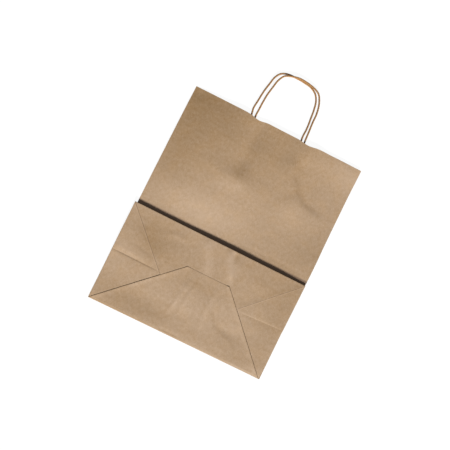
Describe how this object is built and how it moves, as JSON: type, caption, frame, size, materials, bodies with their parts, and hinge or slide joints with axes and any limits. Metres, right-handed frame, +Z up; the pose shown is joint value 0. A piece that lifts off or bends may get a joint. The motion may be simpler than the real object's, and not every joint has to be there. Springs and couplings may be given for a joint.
{
  "type": "flat-folded paper carrier bag with twisted cord handles",
  "caption": "Brown kraft paper carrier bag with a block bottom and twisted paper handles, folded flat with its bottom turned up over the front, lying on its back.",
  "frame": {"origin": "on the surface that the bag lies on, under the middle of the lying bag without its handles", "axes": "+X across the bag to the right as it is seen from above with the mouth away, +Y from the folded bottom edge to the mouth and the handles, +Z up out of the folded front"},
  "size_m": [0.322, 0.495, 0.0102],
  "materials": {
    "kraft_paper": "uncoated brown kraft, machine finished",
    "patch_paper": "uncoated brown kraft",
    "cord_paper": "twisted brown kraft cord"
  },
  "bodies": {
    "root": {"bag_body": "kraft_paper", "back_patch_backing": "patch_paper", "back_patch_cover": "patch_paper", "front_patch_cover": "patch_paper", "front_patch_backing": "patch_paper", "back_handle_cord": "cord_paper", "front_handle_cord": "cord_paper"}
  },
  "joints": []
}
